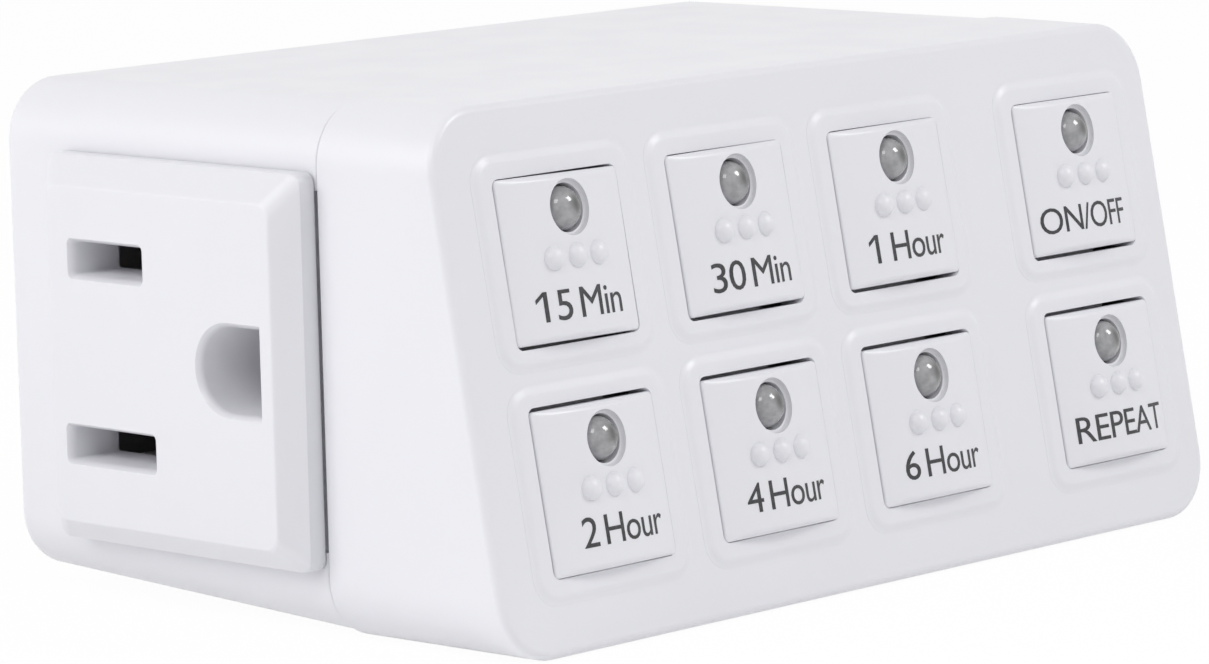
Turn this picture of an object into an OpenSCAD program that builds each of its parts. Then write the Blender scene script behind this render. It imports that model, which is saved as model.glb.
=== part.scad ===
// Plug-in countdown timer with one grounded outlet on its left end and eight flap keys in front.
// Origin: root of the ground pin on the wall face. +X right, -Y towards the user, +Z up.

/* [Case] */
// Length of the case, left to right
case_len = 72.6; // [72:0.1:76]
// Height of the case at the seam
case_h = 35.8; // [35.5:0.1:37]
// Depth of the case along its base, wall to keypad
case_depth = 48.7; // [48:0.1:52]
// Lean of the keypad face from upright, in degrees
keypad_tilt = 10.6; // [8:0.1:11]
// Distance of the seam from the wall
seam_depth = 32; // [31.8:0.1:33]
// Radius of the long edges of the case
corner_r = 4.3; // [3.5:0.1:5]
// Wall thickness of the case
wall = 2; // [1.6:0.1:2.2]
// How far the front half stands proud of the rear half
seam_step = 0.15; // [0.1:0.01:0.3]
// How far the base rises from the seam to the wall
rear_rise = 1.5; // [0.5:0.1:2]
// How far the base rises from the seam to the keypad
front_rise = 0.25; // [0:0.05:0.5]
// Height of the ground pin above the base
pin_above_base = 11.5; // [10.5:0.1:12]

/* [Keys] */
// Width of a key
key_w = 11.35; // [11.2:0.05:11.45]
// Height of a key
key_h = 10.9; // [10.6:0.1:11]
// Spacing of the key columns
key_pitch_x = 16.2; // [16.1:0.05:16.3]
// Spacing of the two key rows
key_pitch_v = 15.15; // [15:0.05:15.25]
// Extra space in front of the last column
last_column_gap = 3.45; // [3.3:0.05:3.6]
// Distance from the left end to the first key
key_margin = 5; // [4.9:0.05:5.1]
// Rise of a key's middle above its side edges
key_crown = 0.97; // [0.6:0.01:1.1]
// How far a key's side edges stand above the pad
key_proud = 0.07; // [0.05:0.01:0.15]
// Height of the raised pad round each key
pad_rise = 0.25; // [0.2:0.05:0.4]
// Travel of a switch plunger
plunger_travel = 0.25; // [0.2:0.05:0.3]

/* [Outlet] */
// Width of the outlet plate, along the depth of the case
plate_w = 24.9; // [24.4:0.1:25]
// Height of the outlet plate
plate_h = 26.4; // [25.8:0.1:26.5]
// How far the outlet plate stands out
plate_rise = 2.9; // [2.4:0.1:3.2]
// Bevel along the edges of the outlet plate
plate_bevel = 1.6; // [1.2:0.1:1.8]
// Width of the slope along the top edge of the outlet plate
plate_top_bevel = 2.1; // [1.6:0.1:2.3]
// Height of the outlet's middle above the base
outlet_above_base = 18; // [17.8:0.1:18.3]
// Distance of the two flat slots from the wall
slot_depth_y = 14.1; // [13.9:0.1:14.3]

/* [Plug] */
// Side of the square block that carries the plug
plug_side = 22; // [21.4:0.1:22.4]
// Length of the flat blades
blade_len = 17.5; // [16:0.1:18]
// Width of the flat blades
blade_w = 6.35; // [6.2:0.05:6.5]
// Thickness of the flat blades
blade_t = 1.5; // [1.4:0.05:1.6]
// Radius of the ground pin
pin_r = 2.4; // [2.35:0.01:2.42]
// Length of the ground pin
pin_len = 20.5; // [19:0.1:21.5]

/* [Hidden] */
$fn = 64;
eps = 0.01;
slot_pitch = 12.7;          // distance between the two flat slots or blades
ground_pitch = 11.9;        // distance from the line of the slots to the ground hole
base_z = -pin_above_base;
top_z = base_z + case_h;
left_x = -case_len / 2;
back_gap = 0.5;             // the plug block stands this far behind the case
edge_r = 0.6;               // rounding along the rim of the keypad
face_len = case_h / cos(keypad_tilt);
plug_z = 6.2;               // height of the plug block's middle
plug_corner_r = 3;
plug_flange_grow = 1.5;     // how far the block's flange reaches beyond it
plug_inner_y = -7.2;
root_r = pin_r - 0.3;       // radius of the ground pin's waist inside the plug block
root_end = -0.3;            // where the pin's waist ends
pin_recess = 0.4;           // depth of the round recess in the plug block's face
pin_recess_grow = 1.1;      // how far that recess reaches round the pin
fit = 0.15;                 // general clearance between fixed pieces
turn_fit = 0.05;            // running clearance of beads and plungers

// keypad frame: x along the keys, y up the tilted face, z out of the face
cover_t = 1.8;
face_mid = (face_len + front_rise) / 2;
key_names = [
    ["15_min", "30_min", "1_hour", "on_off"],
    ["2_hour", "4_hour", "6_hour", "repeat"]
];
rows = [0, 1];
columns = [0, 1, 2, 3];
side_gap = 0.15;            // gap between a key's sides and its window
hinge_gap = 0.12;           // gap along a key's hinged edge
free_gap = 0.25;            // gap along a key's free edge
pad_margin = 1.6;
pad_r = 1.8;
cap_back = -1.6;
hinge_out = 0.9;            // distance of the hinge bead beyond the key's edge
hinge_z = -2.9;
bead_r = 0.6;
bead_len = 6.6;
drop_inset = 0.1;           // walls that drop behind a key stand this far inside its edges
drop_t = 1.1;
arm_t = 0.7;
lip_out = 0.8;
lip_z = [-2.8, -1.95];
lip_half_w = 3.5;
lip_drop_t = 0.9;
lamp_drop = 2.4;            // lamp's middle below the key's top edge
lamp_r = 1.5;
lamp_hole_r = 1.78;
dots_drop = 5.5;
dot_pitch = 2;
dot_r = 0.85;
dot_rise = 0.45;
switch_drop = 7.4;
switch_size = 6;
switch_top = -3.5;
plunger_r = 1.7;
plunger_top = -2.45;
plunger_len = 2.75;
board_front = -7;
board_t = 1.6;
frame_top = -4;
frame_t = 1;
board_half_w = 29.7;
board_low = 4.1;
frame_low = 3.3;
post_xs = [key_x(0) + key_pitch_x / 2, (key_x(2) + key_x(3)) / 2];
post_ys = [face_mid - key_pitch_v / 2, face_mid + key_pitch_v / 2];
post_r = 1.6;

// screws that close the case
screw_x = 32.6;
screw_zs = [base_z + 5.4, top_z - 4.4];
boss_r = 3;
pillar_r = 2.4;
head_r = 2.1;
head_seat_y = -12.5;
screw_r = 1.2;

// outlet
outlet_z = base_z + outlet_above_base;
slot_y = -slot_depth_y;
ground_y = slot_y - ground_pitch;
plate_y = -19.3;
plate_z = base_z + 18;
plate_x = left_x - plate_rise;
plate_corner_r = 0.8;
plate_groove = 1.4;         // depth of the groove in front of the plate
groove_undercut = 0.5;      // how far that groove reaches behind the plate
neck_w = 21.7;
neck_h = 18.8;
neck_len = 7;
slot_h = 2.2;
line_slot_w = 7;
neutral_slot_w = 8.5;
lead_in = 0.3;
lead_in_depth = 1.1;
ground_r = 2.85;
core_len = 13.5;
core_x = left_x + neck_len;   // the core stands against the end of the neck
leaf_t = 0.6;
leaf_len = 10.5;

// boards
board_y = -9.5;
power_board_x = [-13, 29];
power_board_z = [base_z + 4, top_z - 4];
part_y = board_y - board_t;
relay_x = -4.5;
relay_w = 15;
tail_x = core_x + core_len + 1.6;
strap_t = 0.8;

white = [0.93, 0.93, 0.94];
ivory = [0.86, 0.85, 0.82];
brass_colour = [0.80, 0.62, 0.30];
steel = [0.70, 0.71, 0.73];
board_green = [0.10, 0.36, 0.20];

function key_x(column) = left_x + key_margin + key_w / 2 + column * key_pitch_x
    + (column == 3 ? last_column_gap : 0);
function key_y(row) = face_mid + (row == 0 ? 0.5 : -0.5) * key_pitch_v;
// +1 where a key's hinged edge is its top edge
function hinge_side(row) = row == 0 ? 1 : -1;
function hinge_y(row) = key_y(row) + hinge_side(row) * (key_h / 2 + hinge_out);

// ---- shared shapes ----

// rectangle with round corners, centred
module rounded_rect(w, h, r) {
    square([w - 2 * r, h], center = true);
    square([w, h - 2 * r], center = true);
    for (sx = [-1, 1])
        for (sy = [-1, 1])
            translate([sx * (w / 2 - r), sy * (h / 2 - r)]) circle(r);
}

// box given by its low and high corners
module span(low, high) {
    translate(low) cube(high - low);
}

// cylinder along Y from one y to a higher one
module rod_y(x, z, r, y_low, y_high) {
    translate([x, y_high, z]) rotate([90, 0, 0]) cylinder(h = y_high - y_low, r = r);
}

// thin upright slice of the case, drawn in by inset, with its base raised
module case_slice(y, inset, rise) {
    slice_h = case_h - rise - 2 * inset;
    translate([0, y, base_z + rise + inset + slice_h / 2]) rotate([90, 0, 0])
        linear_extrude(eps) rounded_rect(case_len - 2 * inset, slice_h, corner_r - inset, $fn = 32);
}

// moves children into the keypad frame
module on_keypad() {
    translate([0, -case_depth, base_z]) rotate([90 - keypad_tilt, 0, 0]) children();
}

// thin slice of the case parallel to the keypad face
module keypad_slice(z, inset) {
    slice_h = face_len - front_rise - 2 * inset;
    translate([0, face_mid, z - eps]) linear_extrude(eps)
        rounded_rect(case_len - 2 * inset, slice_h, corner_r - inset, $fn = 32);
}

// hollow of the case between two y values, reaching down to floor_z
module case_hollow(y_low, y_high, floor_z) {
    hollow_h = top_z - wall - floor_z;
    translate([0, y_high, floor_z + hollow_h / 2]) rotate([90, 0, 0]) linear_extrude(y_high - y_low)
        rounded_rect(case_len - 2 * wall - 2 * seam_step, hollow_h, corner_r - wall);
}

// ---- case ----

// round-cornered bar along Y, from y_high down to y_low, standing on z_low
module case_bar(y_high, y_low, z_low, z_high) {
    translate([0, y_high, (z_low + z_high) / 2]) rotate([90, 0, 0]) linear_extrude(y_high - y_low)
        rounded_rect(case_len - 2 * seam_step, z_high - z_low, corner_r - seam_step);
}

// outside of the rear half: a level bar cut by a bar that rises towards the wall
module rear_outer(rear_y) {
    spare = 20;
    intersection() {
        case_bar(rear_y, -seam_depth, base_z - spare, top_z - seam_step);
        translate([0, -seam_depth, base_z + seam_step])
            rotate([atan((rear_rise - seam_step) / (seam_depth - back_gap)), 0, 0])
                case_bar(case_depth, -case_depth, 0, case_h + spare);
    }
}

module rear_housing() color(white) {
    rear_y = -back_gap;
    difference() {
        union() {
            difference() {
                rear_outer(rear_y);
                case_hollow(-seam_depth - 1, rear_y - wall, base_z + rear_rise + wall);
            }
            for (sx = [-1, 1])
                for (z = screw_zs)
                    rod_y(sx * screw_x, z, boss_r, -seam_depth, rear_y - wall / 2);
        }
        for (sx = [-1, 1])
            for (z = screw_zs) {
                rod_y(sx * screw_x, z, head_r + 0.2, head_seat_y, 1);
                rod_y(sx * screw_x, z, screw_r + 0.2, -seam_depth - 1, 1);
            }
        // window for the neck of the outlet plate
        span([left_x - 1, plate_y - neck_w / 2 - fit, outlet_z - neck_h / 2 - fit],
            [left_x + wall + 3, plate_y + neck_w / 2 + fit, outlet_z + neck_h / 2 + fit]);
        // groove between the outlet plate and the seam
        span([left_x - 1, -seam_depth - 1, plate_z - plate_h / 2 + plate_corner_r],
            [left_x + plate_groove, plate_y - plate_w / 2 + groove_undercut,
                plate_z + plate_h / 2 - plate_corner_r]);
        // window for the plug block
        plug_block_prism(1, rear_y - wall - 1, fit);
    }
}

module front_cover() color(white) {
    difference() {
        union() {
            difference() {
                hull() {
                    case_slice(-seam_depth, 0, 0);
                    on_keypad() {
                        keypad_slice(-edge_r, 0);
                        keypad_slice(-0.3 * edge_r, 0.3 * edge_r);
                        keypad_slice(0, edge_r);
                    }
                }
                // the hollow stops one cover thickness behind the keypad face
                difference() {
                    case_hollow(-case_depth, -seam_depth + 1, base_z + wall);
                    on_keypad() translate([-case_len, -20, -cover_t]) cube([2 * case_len, 80, 20]);
                }
            }
            on_keypad() for (row = rows) for (column = columns) key_pad(row, column);
            // pillars for the case screws
            intersection() {
                for (sx = [-1, 1])
                    for (z = screw_zs)
                        rod_y(sx * screw_x, z, pillar_r, -case_depth, -seam_depth);
                on_keypad() translate([-case_len, -20, -60]) cube([2 * case_len, 80, 59]);
            }
            // posts and hinge keepers behind the keypad
            on_keypad() {
                for (x = post_xs)
                    for (y = post_ys)
                        translate([x, y, board_front]) cylinder(h = -board_front - cover_t / 2, r = post_r);
                for (row = rows)
                    for (column = columns)
                        hinge_keeper(row, column);
            }
        }
        for (sx = [-1, 1])
            for (z = screw_zs)
                rod_y(sx * screw_x, z, screw_r + 0.05, -seam_depth - 7, -seam_depth + 1);
        on_keypad() {
            for (row = rows) for (column = columns) key_window(row, column);
            for (x = post_xs)
                for (y = post_ys)
                    translate([x, y, board_front - 1]) cylinder(h = 4.5, r = 0.85);
        }
    }
}

// raised pad with a sloped rim round one key
module key_pad(row, column) {
    w = key_w + 2 * pad_margin;
    h = key_h + 2 * pad_margin;
    translate([key_x(column), key_y(row), -0.5]) {
        linear_extrude(0.5 + pad_rise / 2) rounded_rect(w, h, pad_r);
        linear_extrude(0.5 + pad_rise) rounded_rect(w - pad_rise, h - pad_rise, pad_r - pad_rise / 2);
    }
}

module key_window(row, column) {
    side = hinge_side(row);
    low = key_h / 2 + (side > 0 ? free_gap : hinge_gap);
    high = key_h / 2 + (side > 0 ? hinge_gap : free_gap);
    translate([key_x(column), key_y(row), 0])
        span([-key_w / 2 - side_gap, -low, -cover_t - 1], [key_w / 2 + side_gap, high, 2]);
}

// rib of the cover that keeps a key's bead in its trough
module hinge_keeper(row, column) {
    side = hinge_side(row);
    keeper_w = 0.6;
    y = key_y(row) + side * (key_h / 2 + hinge_out);
    translate([key_x(column), y + side * keeper_w / 2, 0])
        span([-bead_len / 2, -keeper_w / 2, hinge_z + bead_r + turn_fit],
            [bead_len / 2, keeper_w / 2, -cover_t + 0.5]);
}

// ---- keys ----

module key_at(row, column) {
    on_keypad() translate([key_x(column), key_y(row), 0]) children();
}

module key_cap(row) {
    side = hinge_side(row);
    edge = side * key_h / 2;
    crown_r = (pow(key_w / 2, 2) + pow(key_crown, 2)) / (2 * key_crown);
    crown_top = pad_rise + key_proud + key_crown;
    difference() {
        union() {
            intersection() {
                span([-key_w / 2, -key_h / 2, cap_back], [key_w / 2, key_h / 2, crown_top + 1]);
                translate([0, 0, crown_top - crown_r]) rotate([90, 0, 0])
                    cylinder(h = 2 * key_h, r = crown_r, center = true, $fn = 180);
            }
            for (i = [-1, 0, 1])
                translate([i * dot_pitch, key_h / 2 - dots_drop, crown_top - dot_r + dot_rise])
                    sphere(dot_r, $fn = 32);
            // rib that meets the plunger
            translate([0, key_h / 2 - switch_drop, plunger_top + 0.12])
                cylinder(h = cap_back - plunger_top, r = 0.8);
            // drop wall, arm and bead of the hinge
            side_span([-bead_len / 2, edge - side * (drop_inset + drop_t), hinge_z],
                [bead_len / 2, edge - side * drop_inset, cap_back + 0.2]);
            side_span([-bead_len / 2, edge - side * (drop_inset + drop_t), hinge_z],
                [bead_len / 2, edge + side * (hinge_out - 0.25), hinge_z + arm_t]);
            translate([0, edge + side * hinge_out, hinge_z]) rotate([0, 90, 0])
                cylinder(h = bead_len, r = bead_r, center = true);
            // lip behind the window at the free edge
            side_span([-lip_half_w, -edge + side * (drop_inset + lip_drop_t), lip_z[0]],
                [lip_half_w, -edge + side * drop_inset, cap_back + 0.2]);
            side_span([-lip_half_w, -edge + side * (drop_inset + lip_drop_t), lip_z[0]],
                [lip_half_w, -edge - side * (free_gap + lip_out), lip_z[1]]);
        }
        translate([0, key_h / 2 - lamp_drop, -4]) cylinder(h = 8, r = lamp_hole_r);
    }
}

// box given by two opposite corners in any order
module side_span(a, b) {
    low = [min(a[0], b[0]), min(a[1], b[1]), min(a[2], b[2])];
    high = [max(a[0], b[0]), max(a[1], b[1]), max(a[2], b[2])];
    span(low, high);
}

module lamp() {
    flange_z = -4.4;
    dome_z = 0.35;
    translate([0, key_h / 2 - lamp_drop, 0]) {
        translate([0, 0, flange_z]) cylinder(h = dome_z - flange_z, r = lamp_r);
        translate([0, 0, dome_z]) intersection() {
            sphere(lamp_r);
            translate([-2, -2, -0.1]) cube([4, 4, 4]);
        }
        translate([0, 0, flange_z]) cylinder(h = 0.8, r = lamp_r + 0.4);
        for (sx = [-1, 1])
            span([sx * 1.27 - 0.25, -0.25, board_front], [sx * 1.27 + 0.25, 0.25, flange_z + 0.3]);
    }
}

module tact_switch() {
    half = switch_size / 2;
    well_z = plunger_top - plunger_len - plunger_travel - 0.1;
    translate([0, key_h / 2 - switch_drop, 0]) difference() {
        span([-half, -half, board_front], [half, half, switch_top]);
        translate([0, 0, well_z]) cylinder(h = 5, r = plunger_r + turn_fit);
    }
}

module plunger() {
    translate([0, key_h / 2 - switch_drop, plunger_top - plunger_len])
        cylinder(h = plunger_len, r = plunger_r);
}

// moulded grid behind the keys, with a trough for each key's bead
module key_frame() color(white) {
    bar_w = 2;
    on_keypad() difference() {
        union() {
            span([-board_half_w, frame_low, frame_top - frame_t],
                [board_half_w, face_len - 2.2, frame_top]);
            for (row = rows)
                for (column = columns)
                    translate([key_x(column), hinge_y(row), 0])
                        span([-bead_len / 2, -bar_w / 2, frame_top - frame_t],
                            [bead_len / 2, bar_w / 2, hinge_z - 0.2]);
        }
        for (row = rows)
            for (column = columns) {
                side = hinge_side(row);
                translate([key_x(column), hinge_y(row), hinge_z]) rotate([0, 90, 0])
                    cylinder(h = bead_len + 1, r = bead_r + turn_fit, center = true);
                translate([key_x(column), key_y(row), 0])
                    side_span([-4.6, side * (key_h / 2 - 0.2), -8], [4.6, -side * (key_h / 2 + 0.6), 0]);
            }
        for (x = post_xs)
            for (y = post_ys)
                translate([x, y, -9]) cylinder(h = 9, r = post_r + 0.1);
    }
}

module keypad_board() color(board_green) {
    on_keypad() difference() {
        span([-board_half_w, board_low, board_front - board_t],
            [board_half_w, face_len - 2.6, board_front]);
        for (x = post_xs)
            for (y = post_ys)
                translate([x, y, -10]) cylinder(h = 5, r = 1);
    }
}

module board_screws() color(steel) {
    on_keypad() for (x = post_xs) for (y = post_ys) translate([x, y, 0]) {
        translate([0, 0, board_front - board_t - 1]) cylinder(h = 1, r = 1.6);
        translate([0, 0, board_front - board_t - 0.5]) cylinder(h = board_t + 3.5, r = 0.8);
    }
}

module microcontroller() color([0.12, 0.12, 0.13]) {
    on_keypad() translate([-7.3, face_mid - 0.5 * key_pitch_v, board_front - board_t]) {
        span([-6.4, -3.75, -2.4], [6.4, 3.75, -0.2]);
        for (i = [-4.5 : 1 : 4.5])
            span([i * 1.27 - 0.2, -5.1, -1.1], [i * 1.27 + 0.2, 5.1, -0.8]);
        for (i = [-4.5 : 1 : 4.5])
            for (sy = [-1, 1])
                translate([i * 1.27 - 0.2, sy * 4.95 - 0.15, -1.1]) cube([0.4, 0.3, 1.1]);
    }
}

// flat link from the power board to the keypad board
module board_ribbon() color([0.75, 0.75, 0.78]) {
    difference() {
        span([20, -60, base_z + 6], [28, part_y, base_z + 6.8]);
        on_keypad() translate([-case_len, -40, board_front - board_t]) cube([2 * case_len, 120, 60]);
    }
}

// ---- outlet ----

// slot with a bevelled mouth, along X from the outlet face
module contact_slot(w, h, length) {
    span([-eps, -w / 2, -h / 2], [length, w / 2, h / 2]);
    intersection() {
        translate([0, 0, -5]) linear_extrude(10)
            polygon([[-1, w / 2 + 2 * lead_in], [-1, -w / 2 - 2 * lead_in], [0, -w / 2 - lead_in],
                [lead_in_depth, -w / 2], [lead_in_depth, w / 2], [0, w / 2 + lead_in]]);
        translate([0, 10, 0]) rotate([90, 0, 0]) linear_extrude(20)
            polygon([[-1, h / 2 + 2 * lead_in], [-1, -h / 2 - 2 * lead_in], [0, -h / 2 - lead_in],
                [lead_in_depth, -h / 2], [lead_in_depth, h / 2], [0, h / 2 + lead_in]]);
    }
}

// D-shaped hole along X, round towards the slots
module ground_hole(length) {
    translate([-eps, 0, 0]) rotate([0, 90, 0]) cylinder(h = length, r = ground_r);
    span([-eps, -ground_r, -ground_r], [length, 0, ground_r]);
}

module socket_plate() color(white) {
    body = plate_rise - plate_bevel;
    neck_end = left_x + neck_len;
    difference() {
        union() {
            // bevelled square: each pair of opposite edges is one sloped prism
            intersection() {
                translate([0, 0, plate_z - plate_h]) linear_extrude(2 * plate_h)
                    polygon([[left_x, plate_y - plate_w / 2], [left_x - body, plate_y - plate_w / 2],
                        [plate_x, plate_y - plate_w / 2 + plate_bevel],
                        [plate_x, plate_y + plate_w / 2 - plate_bevel],
                        [left_x - body, plate_y + plate_w / 2], [left_x, plate_y + plate_w / 2]]);
                translate([0, plate_y + plate_w, 0]) rotate([90, 0, 0]) linear_extrude(2 * plate_w)
                    polygon([[left_x, plate_z - plate_h / 2], [left_x - body, plate_z - plate_h / 2],
                        [plate_x, plate_z - plate_h / 2 + plate_bevel],
                        [plate_x, plate_z + plate_h / 2 - plate_top_bevel],
                        [left_x - body, plate_z + plate_h / 2], [left_x, plate_z + plate_h / 2]]);
                translate([plate_x - 1, plate_y, plate_z]) rotate([90, 0, 90])
                    linear_extrude(plate_rise + 2) rounded_rect(plate_w, plate_h, plate_corner_r);
            }
            span([left_x - 0.1, plate_y - neck_w / 2, outlet_z - neck_h / 2],
                [neck_end, plate_y + neck_w / 2, outlet_z + neck_h / 2]);
        }
        span([left_x, plate_y - plate_w, base_z], [left_x + seam_step, plate_y - neck_w / 2, top_z]);
        translate([plate_x, slot_y, outlet_z + slot_pitch / 2]) contact_slot(line_slot_w, slot_h, 20);
        translate([plate_x, slot_y, outlet_z - slot_pitch / 2]) contact_slot(neutral_slot_w, slot_h, 20);
        translate([plate_x, ground_y, outlet_z]) ground_hole(20);
    }
}

// insulating block that holds the outlet contacts
module socket_core() color(ivory) {
    back_wall = 1.5;
    pocket_end = core_x + core_len - back_wall;
    difference() {
        span([core_x, plate_y - neck_w / 2, outlet_z - neck_h / 2],
            [core_x + core_len, plate_y + neck_w / 2, outlet_z + neck_h / 2]);
        for (side = [-1, 1]) {
            z = outlet_z + side * slot_pitch / 2;
            span([core_x - 1, slot_y - 4.6, z - 2.2], [pocket_end, slot_y + 4.6, z + 2.2]);
            span([pocket_end - 1, slot_y - 2.2, z - 0.5], [pocket_end + 5, slot_y + 2.2, z + 0.5]);
        }
        translate([core_x - 1, ground_y, outlet_z]) rotate([0, 90, 0])
            cylinder(h = pocket_end - core_x + 1, r = 3.4);
        span([pocket_end - 1, ground_y - 2.2, outlet_z - 0.5],
            [pocket_end + 5, ground_y + 2.2, outlet_z + 0.5]);
    }
}

// two leaves that grip a flat blade, joined at the back, with a tail
module blade_contact(z, leaf_w) {
    start = core_x + 0.4;
    end = start + leaf_len;
    low_y = slot_y - leaf_w / 2;
    high_y = slot_y + leaf_w / 2;
    inner = blade_t / 2;
    outer = inner + leaf_t;
    mouth = 2;
    for (side = [-1, 1]) {
        side_span([start + 1.6, low_y, z + side * inner], [end, high_y, z + side * outer]);
        // wider mouth
        side_span([start, low_y, z + side * (mouth - leaf_t)], [start + 1.7, high_y, z + side * mouth]);
        side_span([start + 1.2, low_y, z + side * inner], [start + 1.7, high_y, z + side * mouth]);
    }
    span([end, low_y, z - outer], [end + leaf_t, high_y, z + outer]);
    span([end, slot_y - 2, z - 0.4], [tail_x, slot_y + 2, z + 0.4]);
}

module line_contact() color(brass_colour) blade_contact(outlet_z + slot_pitch / 2, 6.4);

module neutral_contact() color(brass_colour) blade_contact(outlet_z - slot_pitch / 2, 7.6);

// split sleeve that grips the ground pin
module ground_contact() color(brass_colour) {
    start = core_x + 0.4;
    end = start + leaf_len;
    difference() {
        translate([start, ground_y, outlet_z]) rotate([0, 90, 0]) cylinder(h = leaf_len + leaf_t, r = 3.15);
        translate([start - 1, ground_y, outlet_z]) rotate([0, 90, 0]) cylinder(h = leaf_len + 1, r = 2.5);
        span([start - 1, ground_y - 0.4, outlet_z], [end - 2, ground_y + 0.4, outlet_z + 5]);
    }
    span([end, ground_y - 2, outlet_z - 0.4], [tail_x, ground_y + 2, outlet_z + 0.4]);
}

// ---- plug ----

// rounded block round the blades and the pin, from y_high down to y_low
module plug_block_prism(y_high, y_low, grow) {
    side = plug_side + 2 * grow;
    translate([0, y_high, plug_z]) rotate([90, 0, 0]) linear_extrude(y_high - y_low)
        rounded_rect(side, side, plug_corner_r);
}

module plug_block() color(white) {
    press_gap = 0.02;
    flange_y = -back_gap - wall - 0.1;
    half_t = blade_t / 2 + press_gap;
    half_w = blade_w / 2 + press_gap;
    difference() {
        union() {
            plug_block_prism(0, plug_inner_y, 0);
            plug_block_prism(flange_y, flange_y - 1.5, plug_flange_grow);
        }
        for (side = [-1, 1])
            translate([side * slot_pitch / 2, 0, ground_pitch])
                span([-half_t, -20, -half_w], [half_t, 1, half_w]);
        rod_y(0, 0, root_r + press_gap, -20, 1);
        rod_y(0, 0, pin_r + pin_recess_grow, -pin_recess, 1);
    }
}

// flat blade with a rounded tip and a hole
module blade(x) {
    tip_r = 2;
    translate([x - blade_t / 2, 0, ground_pitch]) rotate([90, 0, 90]) linear_extrude(blade_t) difference() {
        union() {
            translate([board_y + 0.1, -blade_w / 2]) square([blade_len - tip_r - board_y - 0.1, blade_w]);
            translate([0, -blade_w / 2 + tip_r]) square([blade_len, blade_w - 2 * tip_r]);
            for (side = [-1, 1])
                translate([blade_len - tip_r, side * (blade_w / 2 - tip_r)]) circle(tip_r);
        }
        translate([11.7, 0]) circle(1.6);
    }
}

module line_blade() color(brass_colour) blade(slot_pitch / 2);

module neutral_blade() color(brass_colour) blade(-slot_pitch / 2);

// pin with a waist inside the plug block and a collar behind it
module ground_pin() color(brass_colour) {
    collar_r = 3.2;
    collar_y = plug_inner_y - 0.1;
    collar_end = collar_y - 1.3;
    rotate([-90, 0, 0]) rotate_extrude()
        polygon([[0, collar_end], [collar_r, collar_end], [collar_r, collar_y], [root_r, collar_y],
            [root_r, root_end], [pin_r, root_end], [pin_r, pin_len - 1.6], [pin_r - 0.5, pin_len - 0.5],
            [pin_r - 1.3, pin_len], [0, pin_len]]);
}

// ---- straps from the plug and the relay to the outlet ----

module line_strap() color(brass_colour) {
    z = outlet_z + slot_pitch / 2;
    span([tail_x, part_y - 2, z - 1.5], [tail_x + strap_t, slot_y + 2, z + 1.5]);
    span([tail_x, part_y - 2, z - 1.5], [relay_x - relay_w / 2, part_y - 2 + strap_t, z + 1.5]);
}

module neutral_strap() color(brass_colour) {
    z = outlet_z - slot_pitch / 2;
    back_y = -8.4;
    blade_x = -slot_pitch / 2 - blade_t / 2;
    span([tail_x, slot_y - 2, z - 1.5], [tail_x + strap_t, back_y, z + 1.5]);
    span([tail_x, back_y - strap_t, z - 1.5], [blade_x - strap_t, back_y, z + 1.5]);
    span([blade_x - strap_t, back_y - strap_t, z - 1.5], [blade_x, back_y, ground_pitch]);
}

module ground_strap() color(brass_colour) {
    z = base_z + 3.8;
    back_y = -8.6;
    strap_w = 3.2;
    span([tail_x, ground_y - 2, z], [tail_x + strap_t, ground_y + 2, outlet_z + 0.4]);
    span([tail_x, ground_y - 2, z], [tail_x + strap_t, back_y, z + strap_w]);
    span([tail_x, back_y - strap_t, z], [1.5, back_y, z + strap_w]);
    span([-1.5, back_y - strap_t, z], [1.5, back_y, 1.5]);
}

// ---- power board and its parts ----

module power_board() color(board_green) {
    span([power_board_x[0], part_y, power_board_z[0]], [power_board_x[1], board_y, power_board_z[1]]);
}

module relay() color([0.15, 0.30, 0.62]) {
    span([relay_x - relay_w / 2, part_y - 15.5, top_z - 24], [relay_x + relay_w / 2, part_y, top_z - 5]);
}

module dropper_capacitor() color([0.78, 0.62, 0.15]) {
    span([5, part_y - 12, top_z - 23], [12, part_y, top_z - 5.5]);
}

module smoothing_capacitor() color([0.18, 0.22, 0.40]) {
    rod_y(21, top_z - 10.5, 4, part_y - 11.5, part_y);
}

module varistor() color([0.20, 0.35, 0.65]) {
    translate([15, part_y - 7, top_z - 21]) rotate([0, 90, 0]) cylinder(h = 3.6, r = 5);
    for (side = [-1, 1])
        translate([16.8 - 0.4, part_y - 4, top_z - 21 + side * 2.5 - 0.4]) cube([0.8, 4, 0.8]);
}

module rectifier() color([0.12, 0.12, 0.13]) {
    span([-10, part_y - 3.2, base_z + 5.4], [-1.6, part_y, base_z + 11.4]);
}

module bleed_resistor() color([0.35, 0.55, 0.75]) {
    y = part_y - 2.4;
    z = base_z + 8;
    translate([4, y, z]) rotate([0, 90, 0]) cylinder(h = 8, r = 1.5);
    translate([2.4, y, z]) rotate([0, 90, 0]) cylinder(h = 11.2, r = 0.35);
    for (x = [2.4, 13.6]) rod_y(x, z, 0.35, y - 0.35, part_y);
}

// four long screws that close the case from the back
module housing_screws() color(steel) {
    for (sx = [-1, 1]) for (z = screw_zs) difference() {
        union() {
            rod_y(sx * screw_x, z, head_r, head_seat_y, head_seat_y + 1.6);
            rod_y(sx * screw_x, z, screw_r, -seam_depth - 6.5, head_seat_y + 0.1);
        }
        for (turn = [0, 90])
            translate([sx * screw_x, head_seat_y + 1.6, z]) rotate([0, turn, 0])
                cube([2.6, 1.6, 0.6], center = true);
    }
}

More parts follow.
